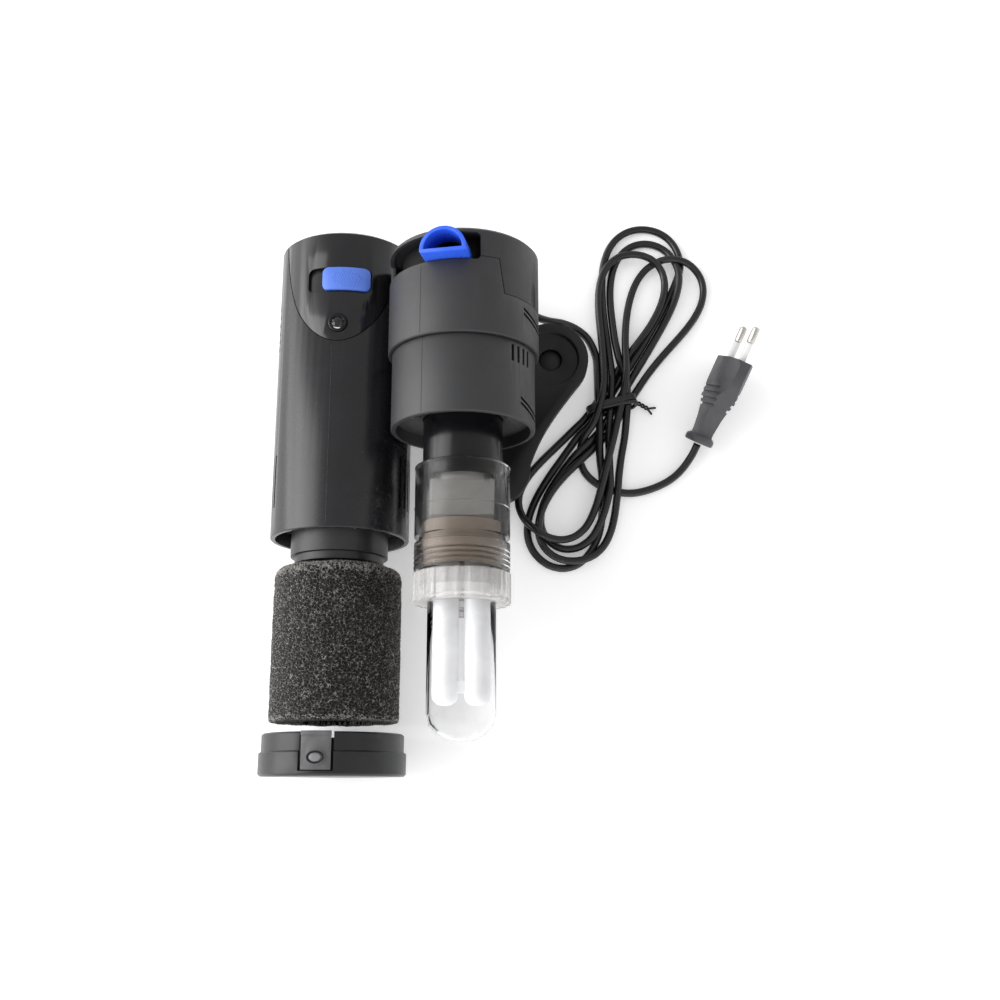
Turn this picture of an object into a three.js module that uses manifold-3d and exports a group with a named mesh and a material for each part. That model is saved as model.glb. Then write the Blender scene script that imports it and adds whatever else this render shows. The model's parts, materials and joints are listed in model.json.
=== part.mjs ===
// Internal aquarium power filter, taken apart and laid out on a table top.
// Left: round casing with its foam cartridge and end cap drawn out along one axis.
// Middle: pump head with the lamp chamber below it, raised on its suction-cup bracket.
// Right: the tied mains lead and its two-pin plug.
// Millimetres. X to the right, Y towards the top ends of the casing and head, Z up from the table.

import * as THREE from 'three';
import { mergeVertices } from 'three/addons/utils/BufferGeometryUtils.js';
import Module from 'manifold-3d';

const wasm = await Module();
wasm.setup();

// ---------------------------------------------------------------- driving dimensions
const GAP = 0.3;                      // clearance left between neighbouring pieces
const ROUND = 56;                     // sides of the large round pieces
const MIDDLE_ROUND = 32;              // sides of the chamber and the pieces inside the shells
const SMALL_ROUND = 18;               // sides of the small round pieces
const CORNER_STEPS = 5;               // steps in a rounded corner

const CASING_X = -44.5;               // axis of casing, cartridge and cap
const CASING_Z = 34.2;
const CASING_R = 33.5;
const CASING_WALL = 2.3;
const CASING_BOTTOM = -18.5;
const CASING_TOP = 130;
const TOP_HOLE_R = 22.5;              // passes the lamp chamber
const PANEL_THICKNESS = 1.2;
const PANEL_RECESS = 1.5;
const SWITCH_Y = [98.5, 111];         // window of the slide switch
const SWITCH_WINDOW_DEG = [-27.5, 27.5];
const SWITCH_DEG = [-14, 26.5];
const INDICATOR_Y = 82;

const CARTRIDGE_R = 30.8;
const FOAM_Y = [-106, -31];
const CORE_R = 16;
const CAP_R = 34.2;
const CAP_BAND_R = 33.1;
const CAP_Y = [-130, -110.7];
const CAP_STEP_Y = -119;
const CAP_TURN_DEG = -5;
const LATCH_HALF_DEG = 11.5;

const HEAD_X = 16.2;                  // axis of pump head, chamber, lamp and sleeve
const HEAD_Z = 68.5;
const HEAD_R = 35.8;
const BASE_R = 33.8;
const HEAD_WALL = 2.2;
const HEAD_TOP = 114;
const HEAD_JOINT_Y = 63;
const BASE_BOTTOM = 26.3;
const FLOOR_Y = [32, 34.5];
const SLOT_Y = [98, 111.3];
const SLOT_DEG = [-95, 14];
const NOZZLE_DEG = -11.5;
const NECK_R = 18.6;
const CHAMBER_R = 22;
const CHAMBER_Y = [-47.6, 9.2];
const THREAD_R = 20.6;
const NUT_R = 21.8;
const NUT_Y = [-54.6, -41];
const SLEEVE_R = 15.6;
const SLEEVE_END_Y = -116;

const PLATE_Z = [18, 26];             // suction-cup bracket
const LOBES = [[59.5, 79.5, 19.5], [29.5, 22, 19.5]];

const CORD_R = 2.1;
const PLUG_LENGTH = 46.5;
const PLUG_TAIL = [136.7, 39.9, 6.95];
const PLUG_HEADING_DEG = 64.9;
const PLUG_SLOPE_DEG = 17.7;
const PLUG_ROLL_DEG = 73;

// ---------------------------------------------------------------- materials
const paint = (color, roughness, metalness = 0, opacity = 1) => () =>
  new THREE.MeshStandardMaterial({ color, roughness, metalness, opacity, transparent: opacity < 1 });
const casingBlack = paint(0x1b1b1e, 0.32);
const trimBlack = paint(0x161617, 0.55);
const blue = paint(0x2450d8, 0.35);
const smoke = paint(0x5b5754, 0.15, 0, 0.5);
const frost = paint(0xb9b3ae, 0.25, 0, 0.55);
const clear = paint(0xeef2f6, 0.05, 0, 0.3);
const white = paint(0xf2f2f0, 0.4);
const amber = paint(0x6b4a30, 0.6);
const foamBlack = paint(0x24221f, 0.95);
const rubber = paint(0x141414, 0.7);
const steel = paint(0xc8c9cc, 0.25, 1);
const ferrite = paint(0x33343a, 0.5, 0.6);
const copper = paint(0xa8622f, 0.4, 0.9);
const board = paint(0x1f5a38, 0.6);

// ---------------------------------------------------------------- solids
function solid(geometry) {
  const plain = geometry.clone();
  plain.deleteAttribute('normal');
  plain.deleteAttribute('uv');
  const merged = mergeVertices(plain, 1e-4);
  const index = merged.index.array;
  const triangles = [];
  for (let i = 0; i < index.length; i += 3) {
    const [a, b, c] = [index[i], index[i + 1], index[i + 2]];
    if (a !== b && b !== c && c !== a) triangles.push(a, b, c);
  }
  const vertProperties = new Float32Array(merged.attributes.position.array);
  const triVerts = new Uint32Array(triangles);
  return new wasm.Manifold(new wasm.Mesh({ numProp: 3, vertProperties, triVerts }));
}

function surface(body) {
  const { numProp, vertProperties, triVerts } = body.getMesh();
  const points = new Float32Array((vertProperties.length / numProp) * 3);
  for (let v = 0; v < points.length / 3; v += 1) {
    for (let k = 0; k < 3; k += 1) points[v * 3 + k] = vertProperties[v * numProp + k];
  }
  const geometry = new THREE.BufferGeometry();
  geometry.setAttribute('position', new THREE.BufferAttribute(points, 3));
  geometry.setIndex(new THREE.BufferAttribute(new Uint32Array(triVerts), 1));
  geometry.computeVertexNormals();
  return geometry;
}

const union = (bodies) => bodies.reduce((sum, body) => sum.add(body));
const without = (body, cutters) => cutters.reduce((rest, cutter) => rest.subtract(cutter), body);
const radians = THREE.MathUtils.degToRad;

// Turned about Y: profile points are [radius, y], up the outside and down the inside.
function turned(profile, segments = ROUND, close = true) {
  const points = profile.map(([r, y]) => new THREE.Vector2(r, y));
  if (close) points.push(points[0].clone());
  return solid(new THREE.LatheGeometry(points, segments));
}

// Turned about Z: profile points are [radius, z].
function turnedUp(profile, segments = SMALL_ROUND, close = true) {
  const points = profile.map(([r, z]) => new THREE.Vector2(r, z));
  if (close) points.push(points[0].clone());
  return solid(new THREE.LatheGeometry(points, segments).rotateX(Math.PI / 2));
}

const tube = (outer, inner, y0, y1, segments = ROUND) =>
  turned([[inner, y0], [outer, y0], [outer, y1], [inner, y1]], segments);
const disc = (r, y0, y1, segments = ROUND) => turned([[0, y0], [r, y0], [r, y1], [0, y1]], segments, false);

function block(x, y, z) {
  const size = [x[1] - x[0], y[1] - y[0], z[1] - z[0]];
  const middle = [(x[0] + x[1]) / 2, (y[0] + y[1]) / 2, (z[0] + z[1]) / 2];
  return solid(new THREE.BoxGeometry(...size).translate(...middle));
}

const outline = (points) => new THREE.Shape(points.map(([x, y]) => new THREE.Vector2(x, y)));
const extruded = (shape, depth, curveSegments = 12) =>
  new THREE.ExtrudeGeometry(shape, { depth, curveSegments, bevelEnabled: false, steps: 1 });

// A flat outline in X and Z, run along Y from y0 to y1.
const alongY = (shape, [y0, y1], curveSegments) =>
  solid(extruded(shape, y1 - y0, curveSegments).rotateX(Math.PI / 2).translate(0, y1, 0));
// A flat outline in X and Y, run up Z from z0 to z1.
const alongZ = (shape, [z0, z1], curveSegments) =>
  solid(extruded(shape, z1 - z0, curveSegments).translate(0, 0, z0));

// Part of a ring about Y; angles are measured from straight up (+Z) towards +X.
function sector([r0, r1], [deg0, deg1], y) {
  const steps = Math.max(1, Math.ceil((deg1 - deg0) / 7));
  const arc = (r, from, to) => Array.from({ length: steps + 1 }, (_, i) => {
    const a = radians(from + ((to - from) * i) / steps);
    return [r * Math.sin(a), r * Math.cos(a)];
  });
  return alongY(outline([...arc(r1, deg1, deg0), ...arc(r0, deg0, deg1)]), y);
}

// A section swept along a smooth curve through the given points.
function swept(points, r, sides, steps) {
  const curve = new THREE.CatmullRomCurve3(points.map((p) => new THREE.Vector3(...p)), false, 'centripetal');
  const section = outline(Array.from({ length: sides }, (_, i) => {
    const a = (2 * Math.PI * i) / sides;
    return [r * Math.cos(a), r * Math.sin(a)];
  }));
  return solid(new THREE.ExtrudeGeometry(section, { steps, extrudePath: curve, bevelEnabled: false }));
}

function piece(name, body, material) {
  const mesh = new THREE.Mesh(surface(body), material());
  mesh.name = name;
  return mesh;
}

function groupAt(x, y, z, meshes) {
  const group = new THREE.Group();
  group.position.set(x, y, z);
  group.add(...meshes);
  return group;
}

// ---------------------------------------------------------------- casing
// The shield-shaped face panel, seen from above: half width against Y.
const PANEL_CURVE = new THREE.SplineCurve([
  [-7.5, 75.2], [0, 73], [7.5, 75.2], [14.2, 81], [19.5, 89], [23, 98], [26, 111], [28.4, CASING_TOP + 1],
].map(([x, y]) => new THREE.Vector2(x, y)));
const PANEL_HALF = PANEL_CURVE.getPoints(35).slice(5).map((p) => [p.x, p.y]);

function panelColumn(margin) {
  const right = PANEL_HALF.map(([x, y], i) => [x + (i > 0 ? margin : 0), y - margin]);
  const left = right.slice(1).reverse().map(([x, y]) => [-x, y]);
  return alongZ(outline([...right, ...left]), [5, CASING_R + 3]);
}

// A column along Z with rounded corners, between two angles of a round face.
function roundedColumn(r, [deg0, deg1], [y0, y1], corner) {
  const x = [deg0, deg1].map((deg) => r * Math.sin(deg * Math.PI / 180));
  const shape = new THREE.Shape();
  shape.moveTo(x[0] + corner, y0);
  shape.lineTo(x[1] - corner, y0);
  shape.absarc(x[1] - corner, y0 + corner, corner, -Math.PI / 2, 0, false);
  shape.absarc(x[1] - corner, y1 - corner, corner, 0, Math.PI / 2, false);
  shape.absarc(x[0] + corner, y1 - corner, corner, Math.PI / 2, Math.PI, false);
  shape.absarc(x[0] + corner, y0 + corner, corner, Math.PI, Math.PI * 1.5, false);
  return alongZ(shape, [5, r + 4], CORNER_STEPS);
}

const switchWindow = () => sector([CASING_R - PANEL_RECESS - 0.01, CASING_R + 3], SWITCH_WINDOW_DEG, SWITCH_Y)
  .intersect(roundedColumn(CASING_R, SWITCH_WINDOW_DEG, SWITCH_Y, 3.2));

function intakeSlots() {
  const slots = [];
  for (const side of [-1, 1]) {
    for (let k = 0; k < 4; k += 1) {
      const middle = side * (64 + 8 * k);
      slots.push(sector([CASING_R - 4, CASING_R + 1], [middle - 1.4, middle + 1.4], [-5, 21]));
    }
  }
  return slots;
}

function sideVents() {
  return Array.from({ length: 6 }, (_, k) =>
    sector([CASING_R - 4, CASING_R + 1], [-90, -69], [75.6 + 4.3 * k, 77.4 + 4.3 * k]));
}

function casingShell() {
  const inner = CASING_R - CASING_WALL;
  const shell = turned([
    [inner, CASING_BOTTOM], [CASING_R - 0.4, CASING_BOTTOM], [CASING_R, CASING_BOTTOM + 0.4],
    [CASING_R, CASING_TOP - 1.2], [CASING_R - 1.2, CASING_TOP], [TOP_HOLE_R, CASING_TOP],
    [TOP_HOLE_R, CASING_TOP - 2.5], [inner, CASING_TOP - 2.5],
  ]);
  const recess = tube(CASING_R + 1, CASING_R - PANEL_RECESS, 70, CASING_TOP + 2).intersect(panelColumn(GAP));
  const lensHole = turnedUp([[0, 20], [3.2, 20], [3.2, 40], [0, 40]], SMALL_ROUND, false)
    .translate([0, INDICATOR_Y, 0]);
  return without(shell, [recess, lensHole, ...intakeSlots(), ...sideVents()]);
}

function facePanel() {
  const skin = turned([
    [CASING_R - PANEL_THICKNESS, 70], [CASING_R, 70], [CASING_R, CASING_TOP - 1.2],
    [CASING_R - PANEL_THICKNESS, CASING_TOP - 0.2],
  ]).intersect(panelColumn(0));
  const bezelHole = turnedUp([[0, 20], [4.9, 20], [4.9, 40], [0, 40]], SMALL_ROUND, false)
    .translate([0, INDICATOR_Y, 0]);
  return without(skin, [switchWindow(), bezelHole]);
}

function slideSwitch() {
  const y = [SWITCH_Y[0] + 0.5, SWITCH_Y[1] - 0.5];
  return sector([CASING_R - PANEL_RECESS + GAP, CASING_R + 1.1], SWITCH_DEG, y)
    .intersect(roundedColumn(CASING_R, SWITCH_DEG, y, 2.8));
}

const indicatorBezel = () => turnedUp([[3.2, 32.3], [4.6, 32.3], [4.6, 33.9], [4.2, 34.1], [3.2, 34.1]])
  .translate([0, INDICATOR_Y, 0]);
const LENS_OUTLINE = [[0, 28.5], [2.9, 28.5], [2.9, 33.7], [2.1, 34.3], [0, 34.6]];
const indicatorLens = () => turnedUp(LENS_OUTLINE, SMALL_ROUND, false)
  .translate([0, INDICATOR_Y, 0]);

// ---------------------------------------------------------------- cartridge and end cap
function cartridgeCore() {
  const core = turned([
    [CORE_R - 2, FOAM_Y[0] + 2], [CORE_R, FOAM_Y[0] + 2], [CORE_R, FOAM_Y[1] + GAP], [21.5, FOAM_Y[1] + GAP],
    [21.5, -27], [23.5, -27], [23.5, -12], [CARTRIDGE_R, -12], [CARTRIDGE_R, -8], [20, -8], [20, -28.6],
    [CORE_R - 2, -28.6],
  ], MIDDLE_ROUND);
  const notches = Array.from({ length: 12 }, (_, k) =>
    sector([28.4, CARTRIDGE_R + 1], [k * 30 - 5, k * 30 + 5], [-13, -7]));
  const windows = [];
  for (const y of [-95, -78, -61, -44]) {
    windows.push(block([-20, 20], [y, y + 8], [-3, 3]), block([-3, 3], [y, y + 8], [-20, 20]));
  }
  return without(core, [...notches, ...windows]);
}

const foamBlock = () => turned([
  [CORE_R + GAP, FOAM_Y[0]], [CARTRIDGE_R - 2, FOAM_Y[0]], [CARTRIDGE_R, FOAM_Y[0] + 2],
  [CARTRIDGE_R, FOAM_Y[1] - 3], [CARTRIDGE_R - 3, FOAM_Y[1]], [CORE_R + GAP, FOAM_Y[1]],
], MIDDLE_ROUND);

function endCap() {
  const inner = CASING_R - CASING_WALL - 0.1;
  const [bottom, top] = CAP_Y;
  const cup = turned([
    [0, bottom], [CAP_R - 1, bottom], [CAP_R, bottom + 1], [CAP_R, CAP_STEP_Y - 0.6],
    [CAP_BAND_R, CAP_STEP_Y], [CAP_BAND_R, top - 0.8], [CAP_BAND_R - 0.8, top],
    [inner, top], [inner, bottom + 2], [0, bottom + 2],
  ], ROUND, false);
  const gateHalf = LATCH_HALF_DEG + 2;
  const gate = sector([inner - 2, CAP_R + 2], [-gateHalf, gateHalf], [bottom + 2.2, top + 1]);
  return cup.subtract(gate).rotate([0, CAP_TURN_DEG, 0]);
}

function capLatch() {
  const [bottom, top] = CAP_Y;
  const width = [-LATCH_HALF_DEG, LATCH_HALF_DEG];
  const plate = sector([CASING_R - 1.9, CAP_R], width, [bottom + 2.6, top + 0.2]);
  const lip = sector([CASING_R - 1.9, CAP_R + 0.7], width, [top - 1.8, top + 0.2]);
  const button = [[0, 32.5], [4.2, 32.5], [4.2, 34.6], [3.4, 35.2], [2.6, 34.8], [0, 34.8]];
  const oval = turnedUp(button, SMALL_ROUND, false)
    .scale([1, 0.72, 1]).translate([0, (bottom + top) / 2 - 2.2, 0]);
  return union([plate, lip, oval]).rotate([0, CAP_TURN_DEG, 0]);
}

// ---------------------------------------------------------------- pump head
// The top cap takes in the end wall, the band above the outlet slot and the skirt behind the step.
// In front its edge runs level from the slot, slants down to the skirt and goes on level.
const CAP_EDGE = [[6.8, 100], [17.2, 100], [19.6, 83.5], [HEAD_R + 3, 83.5]];

function topCapRegion(margin) {
  const edge = CAP_EDGE.map(([x, y]) => [x - margin, y - margin]);
  const front = outline([...edge, [HEAD_R + 3, HEAD_TOP + 2], [CAP_EDGE[0][0] - margin, HEAD_TOP + 2]]);
  const skirt = [60, 360 + SLOT_DEG[0] + margin * 2];
  return union([
    disc(HEAD_R + 2, SLOT_Y[1] - margin, HEAD_TOP + 2),
    alongZ(front, [10, HEAD_R + 3]),
    sector([HEAD_R - 12, HEAD_R + 2], skirt, [83.5 - margin, HEAD_TOP]),
  ]);
}

function headShell() {
  const inner = HEAD_R - HEAD_WALL;
  const shell = turned([
    [inner, HEAD_JOINT_Y], [HEAD_R - 0.5, HEAD_JOINT_Y], [HEAD_R, HEAD_JOINT_Y + 0.5],
    [HEAD_R, HEAD_TOP - 1.5], [HEAD_R - 1.5, HEAD_TOP], [0, HEAD_TOP],
    [0, HEAD_TOP - 2.2], [inner, HEAD_TOP - 2.2],
  ], ROUND);
  const rounded = roundedColumn(HEAD_R, [-80, SLOT_DEG[1]], SLOT_Y, 2.5);
  const slot = union([
    sector([20, HEAD_R + 2], SLOT_DEG, SLOT_Y).intersect(rounded),
    sector([20, HEAD_R + 2], [SLOT_DEG[0], -60], SLOT_Y),
  ]);
  return shell.subtract(slot);
}

// Two slanted slits low on the side, one under the other.
const slashVents = (r, y) => [0, 2.5].map((drop) => alongZ(outline([
  [r * 0.79, y - drop - 1.3], [r + 2, y - drop - 6.7], [r + 2, y - drop - 5.4], [r * 0.79, y - drop],
]), [3, r + 2]));
const barVents = (r, y) => [0, 1, 2, 3].map((k) => sector([r - 5, r + 2], [42 + k * 6.5, 44.6 + k * 6.5], y));

// A shallow finger hollow on the right flank of the cap, running down to its seam.
const fingerHollow = () => solid(new THREE.SphereGeometry(1, 20, 14).scale(3.4, 9.5, 2.6))
  .translate([0, 88, HEAD_R + 1.1]).rotate([0, 67, 0]);

const headCap = () => headShell().intersect(topCapRegion(0)).subtract(fingerHollow());
const headSleeve = () => without(headShell(), [topCapRegion(GAP), ...slashVents(HEAD_R, 80.2)]);

function headBase() {
  const inner = BASE_R - HEAD_WALL;
  const collar = HEAD_R - HEAD_WALL - GAP;
  const shell = turned([
    [inner, BASE_BOTTOM], [BASE_R - 0.5, BASE_BOTTOM], [BASE_R, BASE_BOTTOM + 0.5],
    [BASE_R, HEAD_JOINT_Y - GAP], [collar, HEAD_JOINT_Y - GAP], [collar, HEAD_JOINT_Y + 8],
    [inner, HEAD_JOINT_Y + 8], [inner, FLOOR_Y[1]], [NECK_R + GAP, FLOOR_Y[1]], [NECK_R + GAP, FLOOR_Y[0]],
    [inner, FLOOR_Y[0]],
  ]);
  const screwHoles = [0, 1, 2].map((k) => screwPlace(disc(1.5, 28, 40, 12), k));
  return without(shell, [...barVents(BASE_R, [53, 61]), ...slashVents(BASE_R, 37.5), ...screwHoles]);
}

const screwPlace = (body, k) => body.translate([25, 0, 0]).rotate([0, 90 + 120 * k, 0]);

function baseScrew(k) {
  const seat = FLOOR_Y[0] - GAP;
  const head = turned([
    [0, 29.8], [2, 29.8], [2.6, 30.2], [2.6, seat], [1.2, seat], [1.2, 35.2], [0, 35.2],
  ], 16, false);
  const cross = [
    block([-1.7, 1.7], [29, 30.6], [-0.35, 0.35]),
    block([-0.35, 0.35], [29, 30.6], [-1.7, 1.7]),
  ];
  return screwPlace(without(head, cross), k);
}

// D-shaped spout: flat lip at the low side, round arch above, mouth cut on the slant.
function spoutOutline(half, low, high) {
  const shape = new THREE.Shape();
  const shoulder = high - half;
  const corner = Math.min(1.5, (shoulder - low) * 0.8);
  shape.moveTo(0, low);
  shape.lineTo(half - corner, low);
  shape.quadraticCurveTo(half, low, half, low + corner);
  shape.lineTo(half, shoulder);
  shape.absarc(0, shoulder, half, 0, Math.PI, false);
  shape.lineTo(-half, low + corner);
  shape.quadraticCurveTo(-half, low, -half + corner, low);
  return shape;
}

function outletNozzle() {
  const outer = alongZ(spoutOutline(10.8, 98.4, 110.9), [30.2, 43], 12);
  const bore = alongZ(spoutOutline(9, 100.2, 109.3), [29, 45], 12);
  const slantCut = block([-20, 20], [80, 130], [0, 20]).rotate([32, 0, 0]).translate([0, 99, 38.3]);
  return without(outer, [bore, slantCut]).rotate([0, NOZZLE_DEG, 0]);
}

function outletDrum() {
  const drum = tube(29.8, 27.2, 94, 110.6, MIDDLE_ROUND);
  const port = alongZ(spoutOutline(8.4, 100.2, 109.1), [20, 45], 12).rotate([0, NOZZLE_DEG, 0]);
  return drum.subtract(port);
}

function impeller() {
  const hub = tube(5, 1.8, 69, 80, SMALL_ROUND);
  const backPlate = tube(20, 4.5, 69, 70.4, 36);
  const blades = Array.from({ length: 6 }, (_, k) =>
    block([4.2, 19.5], [70, 79], [-0.8, 0.8]).rotate([0, 60 * k, 0]));
  return union([hub, backPlate, ...blades]);
}

function motorCore() {
  const ring = tube(28, 11, 41, 59, MIDDLE_ROUND);
  const slots = [0, 1, 2, 3].map((k) => block([12.5, 24], [40, 60], [-4, 4]).rotate([0, 45 + 90 * k, 0]));
  return without(ring, slots);
}

const motorCoil = (k) => tube(3.6, 1.8, 0, 15, 12).translate([18.2, 42.5, 0]).rotate([0, 45 + 90 * k, 0]);

const rotorCan = () => turned([[0, 39], [10, 39], [10, 63.7], [9.1, 63.7], [9.1, 40], [0, 40]], 32, false);

const headInside = () => [
  piece('volute_plate', tube(31.2, 10.2, 64, 67, MIDDLE_ROUND), trimBlack),
  piece('rotor_can', rotorCan(), trimBlack),
  piece('motor_core', motorCore(), ferrite),
  piece('motor_coil_1', motorCoil(0), copper),
  piece('motor_coil_2', motorCoil(2), copper),
  piece('ballast_board', tube(30, 5, 35.6, 37.2, 36), board),
  piece('rotor_shaft', disc(1.4, 40.3, 84, 12), steel),
  piece('rotor_magnet', tube(8.2, 1.8, 42, 62, SMALL_ROUND), ferrite),
  piece('impeller', impeller(), trimBlack),
];

// ---------------------------------------------------------------- lamp chamber
const lampNeck = () => turned([
  [0, 12], [16.4, 12], [16.4, 3], [NECK_R, 3], [NECK_R, 35.2], [0, 35.2],
], MIDDLE_ROUND, false);

function lampChamber() {
  const [bottom, top] = CHAMBER_Y;
  const threads = [-44.8, -42.4].flatMap((y) => [
    [THREAD_R - 0.6, y - 1.6], [THREAD_R, y - 1.1], [THREAD_R, y - 0.5], [THREAD_R - 0.6, y],
  ]);
  const ringEnd = NUT_Y[1] + 0.8;
  return turned([
    [19.2, bottom], [THREAD_R - 0.6, bottom], ...threads, [THREAD_R - 0.6, ringEnd], [CHAMBER_R, ringEnd],
    [CHAMBER_R, -27.4], [20, -27.4], [20, -24.3], [CHAMBER_R, -24.3],
    [CHAMBER_R, top - 0.6], [CHAMBER_R - 0.6, top],
    [NECK_R + GAP, top], [NECK_R + GAP, 2], [19.2, 1.4],
  ], MIDDLE_ROUND);
}

function chamberNut() {
  const [bottom, top] = NUT_Y;
  const ribs = 24;
  const edge = [];
  for (let k = 0; k < ribs; k += 1) {
    const a = (360 / ribs) * k;
    for (const [step, r] of [[0, NUT_R], [9.5, NUT_R], [10.5, NUT_R + 0.6], [14, NUT_R + 0.6]]) {
      edge.push([r * Math.sin(radians(a + step)), r * Math.cos(radians(a + step))]);
    }
  }
  const blank = alongY(outline(edge), [bottom, top]);
  const bore = turned([
    [0, bottom - 1], [SLEEVE_R + GAP, bottom - 1], [SLEEVE_R + GAP, bottom + 2.4],
    [THREAD_R + GAP, bottom + 2.4], [THREAD_R + GAP, top + 1], [0, top + 1],
  ], ROUND, false);
  return blank.subtract(bore);
}

function glassSleeve() {
  const end = SLEEVE_END_Y;
  return turned([
    [0, end], [6, end + 0.9], [11, end + 3.6], [14.4, end + 7.5], [SLEEVE_R, end + 12], [SLEEVE_R, -51.8],
    [17.4, -51.2], [17.4, -49.2], [SLEEVE_R, -48.6], [SLEEVE_R, -17], [14.3, -17], [14.3, end + 12.5],
    [13.1, end + 8.4], [10, end + 5], [5.5, end + 2.6], [0, end + 1.8],
  ], MIDDLE_ROUND, false);
}

function lampTube() {
  const limb = (x) => turned([
    [0, -100], [3.4, -99.4], [5.4, -97.6], [6.1, -94.6], [6.1, -14.8], [0, -14.8],
  ], SMALL_ROUND, false).translate([x, 0, 0]);
  const bridge = block([-4, 4], [-94, -89], [-3, 3]);
  return union([limb(-7.2), limb(7.2), bridge]);
}

const lampBase = () => block([-14.6, 14.6], [-14.4, 2], [-9.5, 9.5])
  .intersect(disc(16.6, -20, 6, 48)).add(disc(13.5, 1.5, 11.4, 36));

const chamberPieces = () => [
  piece('lamp_neck', lampNeck(), trimBlack),
  piece('lamp_base', lampBase(), white),
  piece('lamp_tube', lampTube(), white),
  piece('lamp_chamber', lampChamber(), smoke),
  piece('sleeve_seal', tube(18.9, SLEEVE_R + GAP, -31, -18, MIDDLE_ROUND), amber),
  piece('glass_sleeve', glassSleeve(), clear),
  piece('chamber_nut', chamberNut(), frost),
];

// ---------------------------------------------------------------- suction-cup bracket
function bracketPlate() {
  const [a, b] = LOBES;
  const shape = new THREE.Shape();
  shape.moveTo(b[0] + b[2] * 0.5, b[1] - b[2] * 0.87);
  shape.absarc(b[0], b[1], b[2], -Math.PI / 3, 0.1, false);
  shape.bezierCurveTo(54, 38, 58, 46, a[0] + a[2] * 0.8, a[1] - a[2] * 0.6);
  shape.absarc(a[0], a[1], a[2], -0.64, 2.2, false);
  shape.lineTo(8, 64);
  shape.lineTo(4, 52);
  shape.lineTo(4, 16);
  shape.lineTo(12, b[1] - 17);
  const plate = alongZ(shape, PLATE_Z, 10);
  const floor = PLATE_Z[1] - 2;
  const pocket = ([x, y, r]) => turnedUp([
    [0, floor], [r - 5.5, floor], [r - 4.5, PLATE_Z[1] + 1], [0, PLATE_Z[1] + 1],
  ], 32, false).translate([x, y, 0]);
  const hole = ([x, y]) => turnedUp([[0, 10], [6, 10], [6, 30], [0, 30]], SMALL_ROUND, false)
    .translate([x, y, 0]);
  return without(plate, [pocket(a), hole(a), hole(b)]);
}

function bracketClip() {
  const saddle = block([0, 32], [30, 58], [PLATE_Z[1] + GAP, 40]);
  const seat = disc(BASE_R + GAP, 20, 70).translate([HEAD_X, 0, HEAD_Z]);
  return saddle.subtract(seat);
}

const suctionCup = ([x, y]) => turnedUp([
  [0, 2.2], [8, 2], [15, 0], [16, 0], [15.6, 1.4], [11, 5], [7, 9], [5.6, 12], [7.8, 13.2],
  [7.8, PLATE_Z[0] - GAP], [5.6, PLATE_Z[0] - GAP], [5.6, PLATE_Z[0] + 4], [0, PLATE_Z[0] + 5],
], SMALL_ROUND, false).translate([x, y, 0]);

// ---------------------------------------------------------------- mains lead
const GLAND_Y = 104;
const GLAND_DEG = 142;
const LEAD_ROUTE = [
  [51.1, 104, 23.8], [55.4, 104.6, 18.2], [60.5, 105.8, 12], [67, 106.9, 6.6], [74, 105.6, 3.2],
  [80.2, 100.6, 2.3], [84, 92.8, 2.3], [85.2, 88.5, 2.3],
];
const HANK_OUTLINE = [
  [110, 164], [125, 160], [134, 144], [144.5, 136], [142, 117], [130, 95], [114, 75.5], [103, 62], [99, 42],
  [97.5, 15], [86, -9], [72, -23.5], [56.5, -25.5], [44.5, -12], [42, 2], [49.5, 18], [66, 36.5], [81.5, 57],
  [87.6, 87], [87.6, 121], [93.5, 148],
];
const HANK_Z = [0, 9.5];
const TAIL_ROUTE = [
  [98.6, 14.1, 2.2], [109, 15.3, 2.2], [121.2, 20.5, 2.2],
  [128.4, 26.6, 2.9], [133.8, 34, 5.1], [136.5, 39.4, 6.8],
];

function cordGland() {
  const cone = turned([
    [0, 36.2], [6.4, 36.2], [6.4, 38.4], [4.4, 39], [2.9, 55.8], [0, 55.8],
  ], 16, false);
  return cone.rotate([90, 0, 0]).rotate([0, GLAND_DEG, 0]).translate([HEAD_X, GLAND_Y, HEAD_Z]);
}

function cordHank() {
  const curve = new THREE.SplineCurve(HANK_OUTLINE.map(([x, y]) => new THREE.Vector2(x, y)));
  return alongZ(new THREE.Shape(curve.getPoints(60)), HANK_Z);
}

function cordTie() {
  const along = new THREE.Vector2(103 - 81.5, 62 - 57).angle();
  const band = block([-15, 15], [-1.6, 1.6], [0.4, HANK_Z[1] + 1.8]);
  const opening = block([-13.8, 13.8], [-3, 3], [-1, HANK_Z[1] + GAP]);
  return band.subtract(opening).rotate([0, 0, THREE.MathUtils.radToDeg(along)]).translate([92.2, 60.3, 0]);
}

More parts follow.
